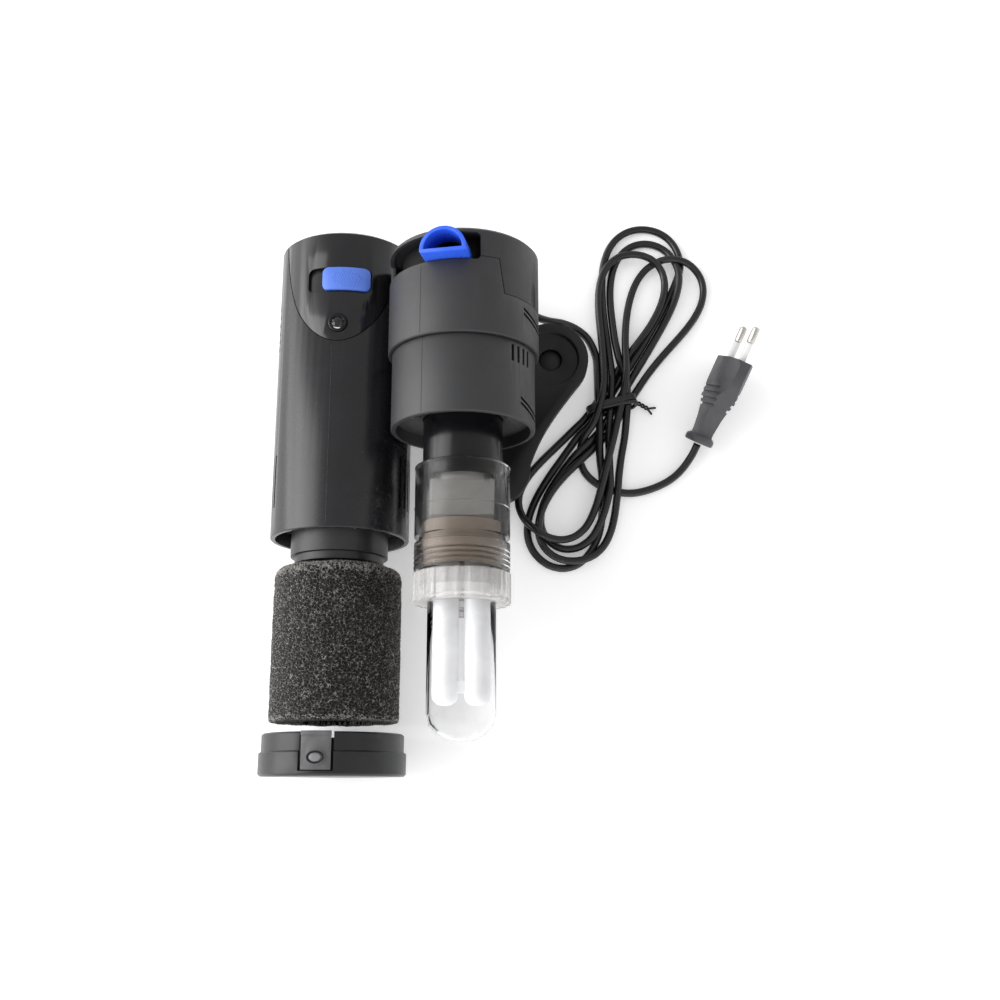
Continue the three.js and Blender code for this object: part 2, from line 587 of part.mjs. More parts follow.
// The plug is built along +Y from its tail at 0 to its face, X across its pins, Z through its thickness.
function plugBody() {
  const mirrored = (half) => outline([...half, ...half.slice().reverse().map(([x, y]) => [-x, y])]);
  const face = PLUG_LENGTH;
  const wide = alongZ(mirrored([
    [5.2, 1.5], [5.2, 7], [6.6, 14], [9.6, 21], [15.4, 29.5], [17.65, 33.5], [17.65, face - 3], [15.5, face],
  ]), [-10, 10]);
  const gripStart = [4.6, 18];
  const gripEnd = [6.85, 34];
  const thick = mirrored([[4.2, 1.5], [4.1, 7], gripStart, gripEnd, [6.85, face]]);
  const side = solid(extruded(thick, 40).translate(0, 0, -20).rotateY(Math.PI / 2));
  const octagon = alongY(outline([
    [17.65, 2.6], [9, 6.85], [-9, 6.85], [-17.65, 2.6],
    [-17.65, -2.6], [-9, -6.85], [9, -6.85], [17.65, -2.6],
  ]), [0, face]);
  const flare = turned([
    [0, 0.2], [7, 0.2], [7.6, 1.1], [7.6, 3], [6.8, 4], [4.8, 5.4], [0, 5.4],
  ], SMALL_ROUND, false);
  const grips = [];
  for (const sign of [-1, 1]) {
    for (let k = 0; k < 4; k += 1) {
      const y = 19.6 + 3.1 * k;
      const floor = THREE.MathUtils.mapLinear(y, gripStart[1], gripEnd[1], gripStart[0], gripEnd[0]) - 1;
      grips.push(block([-20, 20], [y, y + 1.5], sign > 0 ? [floor, 10] : [-10, -floor]));
    }
  }
  return without(union([wide.intersect(side).intersect(octagon), flare]), grips);
}

const pinSleeve = (x) => disc(1.8, PLUG_LENGTH + GAP, PLUG_LENGTH + 10, 12).translate([x, 0, 0]);
const plugPin = (x) => turned([
  [0, PLUG_LENGTH + 10 + GAP], [2, PLUG_LENGTH + 10 + GAP], [2, PLUG_LENGTH + 18.2], [1.2, PLUG_LENGTH + 19],
  [0, PLUG_LENGTH + 19],
], 16, false).translate([x, 0, 0]);

function plug() {
  const pinX = 9.3;
  const group = groupAt(...PLUG_TAIL, [
    piece('plug_body', plugBody(), rubber),
    piece('pin_sleeve_1', pinSleeve(-pinX), white),
    piece('pin_sleeve_2', pinSleeve(pinX), white),
    piece('plug_pin_1', plugPin(-pinX), steel),
    piece('plug_pin_2', plugPin(pinX), steel),
  ]);
  const [heading, slope, roll] = [PLUG_HEADING_DEG, PLUG_SLOPE_DEG, PLUG_ROLL_DEG].map(radians);
  const flat = new THREE.Vector3(Math.cos(heading), Math.sin(heading), 0);
  const along = flat.multiplyScalar(Math.cos(slope)).add(new THREE.Vector3(0, 0, Math.sin(slope)));
  const level = new THREE.Vector3(Math.sin(heading), -Math.cos(heading), 0);
  const rising = new THREE.Vector3().crossVectors(level, along);
  const across = level.clone().multiplyScalar(Math.cos(roll)).addScaledVector(rising, Math.sin(roll));
  const through = new THREE.Vector3().crossVectors(across, along);
  group.setRotationFromMatrix(new THREE.Matrix4().makeBasis(across, along, through));
  return group;
}

// ---------------------------------------------------------------- the whole object
const filter = new THREE.Group();
filter.add(
  groupAt(CASING_X, 0, CASING_Z, [
    piece('casing_shell', casingShell(), casingBlack),
    piece('face_panel', facePanel(), casingBlack),
    piece('slide_switch', slideSwitch(), blue),
    piece('indicator_bezel', indicatorBezel(), trimBlack),
    piece('indicator_lens', indicatorLens(), clear),
    piece('cartridge_core', cartridgeCore(), trimBlack),
    piece('foam_block', foamBlock(), foamBlack),
    piece('end_cap', endCap(), trimBlack),
    piece('cap_latch', capLatch(), trimBlack),
  ]),
  groupAt(HEAD_X, 0, HEAD_Z, [
    piece('head_cap', headCap(), casingBlack),
    piece('head_sleeve', headSleeve(), casingBlack),
    piece('head_base', headBase(), casingBlack),
    piece('base_screw_1', baseScrew(0), steel),
    piece('base_screw_2', baseScrew(1), steel),
    piece('base_screw_3', baseScrew(2), steel),
    piece('outlet_nozzle', outletNozzle(), blue),
    piece('outlet_drum', outletDrum(), trimBlack),
    ...headInside(),
    ...chamberPieces(),
  ]),
  piece('bracket_plate', bracketPlate(), trimBlack),
  piece('bracket_clip', bracketClip(), trimBlack),
  piece('suction_cup_1', suctionCup(LOBES[0]), rubber),
  piece('suction_cup_2', suctionCup(LOBES[1]), rubber),
  piece('cord_gland', cordGland(), rubber),
  piece('cord_lead', swept(LEAD_ROUTE, CORD_R, 8, 10), rubber),
  piece('cord_hank', cordHank(), rubber),
  piece('cord_tie', cordTie(), rubber),
  piece('cord_tail', swept(TAIL_ROUTE, CORD_R, 8, 9), rubber),
  plug(),
);

export default filter;
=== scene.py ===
import json
import math

import bmesh
import bpy
import numpy as np
from mathutils import Matrix, Vector, noise

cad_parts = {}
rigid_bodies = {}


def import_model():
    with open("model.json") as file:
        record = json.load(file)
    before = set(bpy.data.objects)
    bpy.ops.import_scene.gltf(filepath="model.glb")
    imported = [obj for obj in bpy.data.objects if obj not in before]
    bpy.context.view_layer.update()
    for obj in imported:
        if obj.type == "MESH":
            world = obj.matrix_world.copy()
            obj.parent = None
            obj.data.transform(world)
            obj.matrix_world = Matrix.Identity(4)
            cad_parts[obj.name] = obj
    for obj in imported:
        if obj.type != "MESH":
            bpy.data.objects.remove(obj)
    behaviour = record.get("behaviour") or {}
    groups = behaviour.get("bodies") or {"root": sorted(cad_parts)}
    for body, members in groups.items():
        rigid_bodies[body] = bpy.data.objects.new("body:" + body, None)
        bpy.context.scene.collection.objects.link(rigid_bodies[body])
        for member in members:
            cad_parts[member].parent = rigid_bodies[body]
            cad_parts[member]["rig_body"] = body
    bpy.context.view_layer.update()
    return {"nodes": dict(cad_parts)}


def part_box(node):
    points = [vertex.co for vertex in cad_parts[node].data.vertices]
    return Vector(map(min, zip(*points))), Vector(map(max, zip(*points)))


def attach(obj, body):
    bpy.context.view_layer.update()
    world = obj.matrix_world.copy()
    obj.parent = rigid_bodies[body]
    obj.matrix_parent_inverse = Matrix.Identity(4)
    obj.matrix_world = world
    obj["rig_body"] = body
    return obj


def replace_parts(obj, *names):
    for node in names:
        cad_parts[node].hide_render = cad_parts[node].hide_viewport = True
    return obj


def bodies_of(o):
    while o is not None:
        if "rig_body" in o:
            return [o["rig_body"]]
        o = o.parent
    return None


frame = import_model()

MM = 0.001                        # lengths below are written in millimetres and scaled by this
NODES = frame["nodes"]


def middle(node):
    """The middle of a CAD node's box, in metres."""
    low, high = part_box(node)
    return (Vector(low) + Vector(high)) / 2


# ---------------------------------------------------------------- camera

PITCH = math.radians(14)          # the view leans this far from straight down
VIEW_TARGET = Vector((33.5, 11, 0)) * MM
VIEW_DISTANCE = 612 * MM
SENSOR = 36                       # millimetres, as is the focal length
FOCAL = 42.23


def make_camera():
    """The camera, above the front of the table and looking down and a little to the back."""
    forward = Vector((0, math.sin(PITCH), -math.cos(PITCH)))
    up = Vector((0, math.cos(PITCH), math.sin(PITCH)))
    right = Vector((1, 0, 0))
    data = bpy.data.cameras.new("camera")
    data.sensor_width = SENSOR
    data.lens = FOCAL
    camera = bpy.data.objects.new("camera", data)
    turn = Matrix((right, up, -forward)).transposed().to_4x4()
    camera.matrix_world = Matrix.Translation(VIEW_TARGET - forward * VIEW_DISTANCE) @ turn
    bpy.context.scene.collection.objects.link(camera)
    bpy.context.scene.camera = camera


# ---------------------------------------------------------------- mesh helpers

def add_mesh(name, vertices, faces, smooth=True):
    """A new mesh object from vertices in metres."""
    mesh = bpy.data.meshes.new(name)
    mesh.from_pydata([tuple(v) for v in vertices], [], faces)
    mesh.validate()
    mesh.update()
    thing = bpy.data.objects.new(name, mesh)
    bpy.context.scene.collection.objects.link(thing)
    if smooth:
        mesh.polygons.foreach_set("use_smooth", [True] * len(mesh.polygons))
    return thing


def apply_modifiers(thing):
    """Replaces the object's mesh by what its modifiers make of it."""
    graph = bpy.context.evaluated_depsgraph_get()
    made = bpy.data.meshes.new_from_object(thing.evaluated_get(graph))
    thing.modifiers.clear()
    thing.data = made


def smooth_by_angle(thing, degrees):
    """Smooth shading, with edges sharper than the angle kept crisp."""
    mesh = thing.data
    mesh.polygons.foreach_set("use_smooth", [True] * len(mesh.polygons))
    mesh.set_sharp_from_angle(angle=math.radians(degrees))


def grid_faces(rows, columns, closed_rows=False):
    """Quads over a grid of vertices stored row by row, each row closed on itself."""
    faces = []
    for i in range(rows if closed_rows else rows - 1):
        row, above = i * columns, (i + 1) % rows * columns
        for j in range(columns):
            after = (j + 1) % columns
            faces.append((row + j, row + after, above + after, above + j))
    return faces


def frames_along(points):
    """A side and an up vector at each point of a path, turned as little as possible along it."""
    ways = np.gradient(points, axis=0)
    ways /= np.linalg.norm(ways, axis=1)[:, None]
    side = np.array([0.0, 0.0, 1.0])
    sides = []
    for way in ways:
        side = side - way * (side @ way)
        side /= np.linalg.norm(side)
        sides.append(side.copy())
    sides = np.array(sides)
    return sides, np.cross(ways, sides)


def tube(name, points, section):
    """A closed tube: the section, a list of (side, up) offsets in metres, swept along points in metres."""
    points = np.asarray(points, float)
    sides, ups = frames_along(points)
    section = np.asarray(section, float)
    rings = points[:, None] + sides[:, None] * section[None, :, :1] + ups[:, None] * section[None, :, 1:]
    count = len(section)
    faces = grid_faces(len(points), count)
    last = (len(points) - 1) * count
    faces.append(tuple(range(count - 1, -1, -1)))
    faces.append(tuple(last + k for k in range(count)))
    return add_mesh(name, rings.reshape(-1, 3), faces)


def round_section(radius, sides, groove=0.0):
    """A round section, with a shallow groove along two opposite sides."""
    groove_width = 0.3            # as a share of the radius
    made = []
    for k in range(sides):
        a = 2 * math.pi * k / sides
        r = radius * (1 - groove * math.exp(-(math.cos(a) / groove_width) ** 2))
        made.append((r * math.cos(a), r * math.sin(a)))
    return made


def join(parts, name):
    """Several mesh objects as one object of separate closed shells."""
    made = bmesh.new()
    for part in parts:
        made.from_mesh(part.data)
    mesh = bpy.data.meshes.new(name)
    made.to_mesh(mesh)
    made.free()
    for part in parts:
        bpy.data.objects.remove(part)
    thing = bpy.data.objects.new(name, mesh)
    bpy.context.scene.collection.objects.link(thing)
    mesh.polygons.foreach_set("use_smooth", [True] * len(mesh.polygons))
    return thing


# ---------------------------------------------------------------- cord

CORD_D = 4.2
TIE = (92.2, 60.3)                # where the hank is tied, in X and Y
TIE_LEAN = math.radians(13)       # the runs lie side by side in the tie along a line that leans this far
ROUTE_STEP = 3.0                  # between the points of the route while its runs settle
CORD_STEP = 1.5                   # between the points of the finished cord
# from the gland down to the table and up to the tie
LEAD_ROUTE = [
    (51.1, 104, 23.8), (55.4, 104.6, 18.2), (60.5, 105.8, 12), (67, 106.9, 6.6),
    (74, 105.6, 3.2), (80.2, 100.6, 2.3), (84, 92.8, 2.3), (85.2, 88.5, 2.3),
]
# from the tie round the lower left, and on past the hank to the plug
OUT_OF_TIE = [(83.4, 51.5, 6.0), (77.6, 43.5, 2.4), (75.2, 34.5, 2.2), (78, 25.2, 2.2), (86.4, 17.6, 2.2)]
TAIL_ROUTE = [
    (98.6, 14.1, 2.2), (109, 15.3, 2.2), (121.2, 20.5, 2.2),
    (128.4, 26.6, 2.9), (133.8, 34, 5.1), (136.5, 39.4, 6.8),
]
# each turn of the hank: reach from the tie, half width left and right, lean in degrees
UPPER_TURNS = [(106, 20.5, 19.5, 13), (98, 18, 18.5, 15), (92.5, 19.5, 17.5, 27.5), (88.5, 17.5, 17.5, 11)]
LOWER_TURNS = [(91, 20.5, 15.8, 20), (83, 15.8, 15.2, 20.5), (86, 17.5, 19.5, 18.5), (79, 24.5, 14.9, 25)]
# places across the tie, from the left, of the runs that go up to the right and down to the right
RISING_PLACES = [-2.2, 2.2, 6.6, -6.6]
FALLING_PLACES = [-8.8, 0, 8.8, 4.4, -4.4]
LAYERS = (2.1, 6.4)               # heights of the two layers of runs in the tie
UPPER_FULLNESS = 1.45             # higher numbers make a turn fuller at its far end
LOWER_FULLNESS = 1.25
POINTS_A_TURN = 21
NEAR_TIE = 30                     # within about this reach a run keeps the place it has in the tie
TURN_RISE = 0.5                   # each lower and upper pair starts this much higher than the last
LEAST_BEND = 14                   # radius below which a bend is eased


def turn_of_hank(reach, left, right, lean, upper, fullness, enters, leaves, entry_z, exit_z, rest_z):
    """One drop-shaped turn from the tie out and back."""
    s = np.linspace(0, 1, POINTS_A_TURN + 2)[1:-1]
    out, back = np.sin(np.pi * s), np.cos(np.pi * s)
    peak = (1 / (1 + fullness)) ** 0.5 * (fullness / (1 + fullness)) ** (fullness / 2)
    along = reach * out
    across = np.where(back > 0, right, left) * back * out ** fullness / peak
    lean = math.radians(lean)
    sign = 1 if upper else -1
    ahead = sign * np.array([math.sin(lean), math.cos(lean)])
    sideways = np.array([math.cos(lean), -math.sin(lean)])
    near = np.exp(-(along / NEAR_TIE) ** 2)
    place = np.where(s < 0.5, enters, leaves) * near
    tie_across = np.array([math.cos(TIE_LEAN), -math.sin(TIE_LEAN)])
    xy = TIE + along[:, None] * ahead + across[:, None] * sideways + place[:, None] * tie_across
    z = np.where(s < 0.5, entry_z, exit_z) * near + rest_z * (1 - near)
    return np.column_stack([xy, z])


def hank_route():
    """The lead, four turns below and four above the tie by turns, and the tail to the plug."""
    low, high = LAYERS
    parts = [np.array(LEAD_ROUTE)]
    for k, (lower, upper) in enumerate(zip(LOWER_TURNS, UPPER_TURNS)):
        rest = low + TURN_RISE * k
        parts.append(turn_of_hank(*lower, False, LOWER_FULLNESS, FALLING_PLACES[k], RISING_PLACES[k],
                                  high, low, rest)[1 if k == 0 else 0:])
        parts.append(turn_of_hank(*upper, True, UPPER_FULLNESS, RISING_PLACES[k], FALLING_PLACES[k + 1],
                                  low, high, rest))
    return np.vstack([*parts, np.array(OUT_OF_TIE), np.array(TAIL_ROUTE)])


def even_path(points, step):
    """The path again, in equal steps of about the given length."""
    d = np.r_[0, np.cumsum(np.linalg.norm(np.diff(points, axis=0), axis=1))]
    s = np.linspace(0, d[-1], max(2, round(d[-1] / step)) + 1)
    return np.column_stack([np.interp(s, d, points[:, k]) for k in range(3)])


def curve_through(points, step):
    """A smooth curve through the points (centripetal Catmull-Rom), in equal steps."""
    p = np.vstack([2 * points[0] - points[1], points, 2 * points[-1] - points[-2]])
    samples = 24                  # between one point and the next
    out = []
    for i in range(1, len(p) - 2):
        a, b, c, d = p[i - 1:i + 3]
        t = np.cumsum([0] + [max(np.linalg.norm(v - u), 1e-6) ** 0.5 for u, v in ((a, b), (b, c), (c, d))])
        u = np.linspace(t[1], t[2], samples, endpoint=False)[:, None]

        def mix(p0, t0, p1, t1):
            return (t1 - u) / (t1 - t0) * p0 + (u - t0) / (t1 - t0) * p1

        ab, bc, cd = mix(a, t[0], b, t[1]), mix(b, t[1], c, t[2]), mix(c, t[2], d, t[3])
        out.append(mix(mix(ab, t[0], bc, t[2]), t[1], mix(bc, t[1], cd, t[3]), t[2]))
    return even_path(np.vstack([*out, p[-2][None]]), step)


def settle(path):
    """Lets the runs push one another apart and down onto the table, so that they lie on each other.

    Where two runs cross, the later one rides over the earlier, but the tail to the plug stays below."""
    rounds, last_rounds = 200, 25             # the last rounds smooth less
    held_at_exit, held_at_plug = 16, 14       # points that keep their places
    tail_points = 34                          # points at the end that pass under the hank
    own_reach = 2.6 * CORD_D                  # the cord isn't pushed away from its own next stretch
    gap = CORD_D * 1.02                       # between the middles of two runs
    least_rise = 0.4                          # height that crossing runs take to part
    upwards = 8                               # how much sooner crossing runs part in height than sideways
    crowding = 0.6                            # how far the pushes of many neighbours are averaged
    fall = 0.02                               # height lost in each round
    ease, last_ease = np.array([0.25, 0.25, 0.3]), np.array([0.06, 0.06, 0.08])

    start, p = path.copy(), path.copy()
    index = np.arange(len(p))
    apart = np.abs(index[:, None] - index[None, :]) > int(own_reach / ROUTE_STEP) + 1
    rank = np.where(index > len(p) - tail_points, -1, index)
    free = np.ones(len(p), bool)
    free[:held_at_exit] = False
    free[-held_at_plug:] = False
    for k in range(rounds):
        between = p[:, None] - p[None]
        distance = np.linalg.norm(between, axis=2)
        i, j = np.nonzero(apart & (distance < gap))
        way = between[i, j]
        rise = np.where(rank[i] > rank[j], least_rise, -least_rise)
        way[:, 2] = np.where(np.abs(way[:, 2]) < least_rise, rise, way[:, 2]) * upwards
        way /= np.linalg.norm(way, axis=1)[:, None]
        push = np.zeros_like(p)
        np.add.at(push, i, way * ((gap - distance[i, j]) * 0.5)[:, None])
        move = push / np.maximum(np.bincount(i, minlength=len(p)), 1)[:, None] ** crowding
        move[:, 2] -= fall
        p[free] += move[free]
        p[:, 2] = np.maximum(p[:, 2], CORD_D / 2)
        shift = p - start
        share = ease if k < rounds - last_rounds else last_ease
        shift[1:-1] += share * ((shift[:-2] + shift[2:]) / 2 - shift[1:-1])
        q = start + shift
        q[1:-1, 2] += share[2] * ((q[:-2, 2] + q[2:, 2]) / 2 - q[1:-1, 2])
        p[free] = q[free]
    return even_path(p, ROUTE_STEP)


def radii(p, reach):
    """The radius of the circle through each point and the two that lie so many steps before and after it."""
    a, b, c = p[:-2 * reach], p[reach:-reach], p[2 * reach:]
    sides = [np.linalg.norm(u - v, axis=1) for u, v in ((b, c), (a, c), (a, b))]
    area = np.linalg.norm(np.cross(b - a, c - a), axis=1) / 2
    ends = np.full(reach, 1e3)
    return np.concatenate([ends, sides[0] * sides[1] * sides[2] / (4 * area + 1e-9), ends])


def relieve(path):
    """Eases the path wherever it bends more tightly than the least radius."""
    rounds = 60
    around = np.ones(7)           # points eased together round a tight one
    p = path.copy()
    for _ in range(rounds):
        bend = np.minimum(radii(p, 2), radii(p, 4))
        tight = np.convolve(bend < LEAST_BEND, around, "same") > 0
        tight[:2] = False
        tight[-3:] = False
        middle_way = (p[:-2] + p[2:]) / 2
        p[1:-1] = np.where(tight[1:-1, None], (p[1:-1] + middle_way) / 2, p[1:-1])
    p[:, 2] = np.maximum(p[:, 2], CORD_D / 2)
    return p


def make_cord():
    """The whole lead as one tube with a groove on each side, its path and its length in metres."""
    route = settle(curve_through(hank_route(), ROUTE_STEP))
    path = even_path(relieve(curve_through(route, CORD_STEP)), CORD_STEP) * MM
    cord = tube("mains_cord", path, round_section(CORD_D / 2 * MM, 20, groove=0.15))
    length = float(np.linalg.norm(np.diff(path, axis=0), axis=1).sum())
    return cord, path, round(length, 2)


# the twist tie
TIE_ACROSS = Vector((21.5, 5, 0)).normalized()
TIE_ALONG = Vector((-TIE_ACROSS.y, TIE_ACROSS.x, 0))
TIE_CENTRE = Vector((TIE[0] + 0.2, TIE[1] + 0.6, 0))
TIE_HALF = 12.6                   # half its width
TIE_TOP, TIE_LOW = 9.9, 1.2       # height of its wraps' middle line above and below the runs


def tie_wrap(turn, shift):
    """The middle line of one wrap, a rounded box round the runs of the hank."""
    count = 72
    squareness_across, squareness_up = 0.55, 0.8
    waver = 0.8
    points = []
    for k in range(count):
        a = 2 * math.pi * k / count
        x = math.copysign(abs(math.cos(a)) ** squareness_across, math.cos(a)) * TIE_HALF
        rise = math.copysign(abs(math.sin(a)) ** squareness_up, math.sin(a))
        z = (TIE_TOP + TIE_LOW) / 2 + rise * (TIE_TOP - TIE_LOW) / 2
        y = shift + waver * math.sin(a + turn)
        points.append(TIE_CENTRE + TIE_ACROSS * x + TIE_ALONG * y + Vector((0, 0, z)))
    points.append(points[0].copy())
    return points


def tie_strand(phase, splay):
    """The middle line of one of the two strands twisted together, whose tips splay apart."""
    count, turns, length = 60, 2.6, 11
    radius, height, drop = 0.75, 3.4, 1.6
    twisted = 0.72                # share of the length that is twisted
    knot = TIE_CENTRE + TIE_ACROSS * (TIE_HALF + 0.4) + Vector((0, 0, height))
    way = (TIE_ACROSS * 0.75 - TIE_ALONG * 0.66).normalized()
    side = Vector((-way.y, way.x, 0))
    points = []
    for k in range(count):
        t = k / (count - 1)
        turn = 2 * math.pi * turns * min(t, twisted) + phase
        spread = radius + max(0, t - twisted) * splay
        up = Vector((0, 0, math.sin(turn) * radius - drop * t))
        points.append(knot + way * (length * t) + side * math.cos(turn) * spread + up)
    return points


def make_tie():
    """A wire twist tie: three wraps round the hank, and its twisted ends on the right."""
    wraps = [tie_wrap(turn, shift) for turn, shift in enumerate((-1.9, 0.1, 2.0))]
    strands = [tie_strand(0, 12), tie_strand(math.pi, 7)]
    parts = []
    for lines, radius in ((wraps, 1.1), (strands, 0.6)):
        for points in lines:
            parts.append(tube("tie_part", [tuple(p * MM) for p in points], round_section(radius * MM, 10)))
    return join(parts, "twist_tie")


# ---------------------------------------------------------------- materials

def new_material(name):
    """A new material with its node tree and its shader."""
    material = bpy.data.materials.new(name)
    material.use_nodes = True
    tree = material.node_tree
    shader = tree.nodes["Principled BSDF"]
    return material, tree, shader


def node(tree, kind, **values):
    """A shader node, with the sockets and settings given by name."""
    made = tree.nodes.new("ShaderNode" + kind)
    for key, value in values.items():
        socket = key.replace("_", " ")
        if hasattr(made, key):
            setattr(made, key, value)
        elif socket in made.inputs:
            made.inputs[socket].default_value = value
        else:
            made.inputs[socket.title()].default_value = value
    return made


def place_of(tree, stretch=(1, 1, 1)):
    """Object coordinates, stretched along an axis where a texture runs lengthwise."""
    where = node(tree, "TexCoord")
    if stretch == (1, 1, 1):
        return where.outputs["Object"]
    mapping = node(tree, "Mapping", Scale=stretch)
    tree.links.new(where.outputs["Object"], mapping.inputs["Vector"])
    return mapping.outputs["Vector"]


def noise_at(tree, place, size_mm, detail, roughness=0.55, distortion=0.0):
    """Noise whose blotches are about so many millimetres across."""
    made = node(tree, "TexNoise", Scale=1 / (size_mm * MM), Detail=detail, Roughness=roughness,
                Distortion=distortion)
    tree.links.new(place, made.inputs["Vector"])
    return made.outputs["Fac"]


def ranged(tree, value, low, high, start=0.3, end=0.7):
    """The value from start..end brought to low..high."""
    made = node(tree, "MapRange")
    for name, number in (("From Min", start), ("From Max", end), ("To Min", low), ("To Max", high)):
        made.inputs[name].default_value = number
    tree.links.new(value, made.inputs["Value"])
    return made.outputs["Result"]


def ramp(tree, value, stops):
    """Colours along a value: a list of (position, (r, g, b))."""
    made = node(tree, "ValToRGB")
    points = made.color_ramp.elements
    while len(points) < len(stops):
        points.new(0.5)
    for point, (position, colour) in zip(points, stops):
        point.position = position
        point.color = (*colour, 1)
    tree.links.new(value, made.inputs["Fac"])
    return made.outputs["Color"]


def set_bump(tree, shader, height, strength, depth_mm, base=None):
    """Bump from a height, on top of the base bump where one is given."""
    made = node(tree, "Bump", Strength=strength, Distance=depth_mm * MM)
    tree.links.new(height, made.inputs["Height"])
    if base is not None:
        tree.links.new(base, made.inputs["Normal"])
    tree.links.new(made.outputs["Normal"], shader.inputs["Normal"])
    return made.outputs["Normal"]


DRIFT_MM, SMUDGE_MM, WAVE_MM = 24, 7, 14      # sizes of tone drift, smudges and slight waves in mouldings
WAVE_STRENGTH, WAVE_DEPTH_MM = 0.05, 0.25
TINT_MM, VEIL_MM = 11, 4                      # sizes of tint drift and haze in clear pieces
LENGTHWISE = 0.06                             # scale of flow lines along a clear piece


def moulded(name, dark, light, rough, grain_mm=0.35, grain=0.25, depth_mm=0.03, smudge=0.05,
            lines=(1, 1, 1), metallic=0.0, specular=0.5):
    """Moulded plastic, rubber or metal: tone drift, smudges in the gloss, slight waves and fine grain."""
    material, tree, shader = new_material(name)
    place = place_of(tree)
    drift = noise_at(tree, place, DRIFT_MM, 4, 0.6, 0.4)
    tree.links.new(ramp(tree, drift, [(0.3, dark), (0.7, light)]), shader.inputs["Base Color"])
    smudges = noise_at(tree, place, SMUDGE_MM, 5, 0.65, 0.8)
    tree.links.new(ranged(tree, smudges, rough - smudge, rough + smudge), shader.inputs["Roughness"])
    fine = noise_at(tree, place_of(tree, lines), grain_mm, 2, 0.5)
    waves = noise_at(tree, place, WAVE_MM, 2, 0.4)
    base = set_bump(tree, shader, waves, WAVE_STRENGTH, WAVE_DEPTH_MM)
    set_bump(tree, shader, fine, grain, depth_mm, base)
    shader.inputs["Metallic"].default_value = metallic
    shader.inputs["Specular IOR Level"].default_value = specular
    return material


def clear(name, tint, rough, ior=1.46, streaks=0.15, haze=0.04, weight=1.0, streak_mm=1.2, depth_mm=0.08):
    """Clear moulding or glass with a tint, flow lines along it and a slight haze."""
    material, tree, shader = new_material(name)
    place = place_of(tree)
    tones = ramp(tree, noise_at(tree, place, TINT_MM, 4, 0.6, 0.5),
                 [(0.3, tuple(c * 0.9 for c in tint)), (0.7, tint)])
    tree.links.new(tones, shader.inputs["Base Color"])
    veil = noise_at(tree, place, VEIL_MM, 4, 0.6, 0.6)
    tree.links.new(ranged(tree, veil, max(rough - haze, 0.01), rough + haze), shader.inputs["Roughness"])
    lines = noise_at(tree, place_of(tree, (1, LENGTHWISE, 1)), streak_mm, 3, 0.6)
    set_bump(tree, shader, lines, streaks, depth_mm)
    shader.inputs["Transmission Weight"].default_value = weight
    shader.inputs["IOR"].default_value = ior
    return material


def foam_material():
    """Open-cell foam: near-black, with painted shade in the cells between struts and painted glints as bright
    specks on the strut tips.
    """
    material, tree, shader = new_material("open_cell_foam")
    place = place_of(tree)
    # the strut height, which also carries the painted highlight on the foam's shoulder and lower edge
    strut_height_and_painted_light = node(tree, "Attribute", attribute_name="strut_height_and_painted_light")
    grit = noise_at(tree, place, 0.5, 3, 0.75)
    height = node(tree, "Math", operation="MULTIPLY")
    tree.links.new(strut_height_and_painted_light.outputs["Fac"], height.inputs[0])
    tree.links.new(ranged(tree, grit, 0.25, 1.5, 0.32, 0.68), height.inputs[1])
    # colour along the strut height: darkest in the cells as painted shade, brightest at the strut tips as
    # painted glints
    colour = ramp(tree, height.outputs[0], [(0.0, (0.0015, 0.0015, 0.0015)), (0.5, (0.008, 0.0075, 0.007)),
                                           (0.78, (0.075, 0.07, 0.064)), (1.0, (0.62, 0.6, 0.56))])
    tree.links.new(colour, shader.inputs["Base Color"])
    tree.links.new(ranged(tree, grit, 0.75, 0.3), shader.inputs["Roughness"])
    set_bump(tree, shader, height.outputs[0], 1.0, 0.5)
    shader.inputs["Specular IOR Level"].default_value = 0.5
    return material


def metal(name, dark, light, rough):
    """Metal with fine lines along Y."""
    return moulded(name, dark, light, rough, 0.25, 0.2, 0.01, 0.07, (1, 0.1, 1), metallic=1.0)


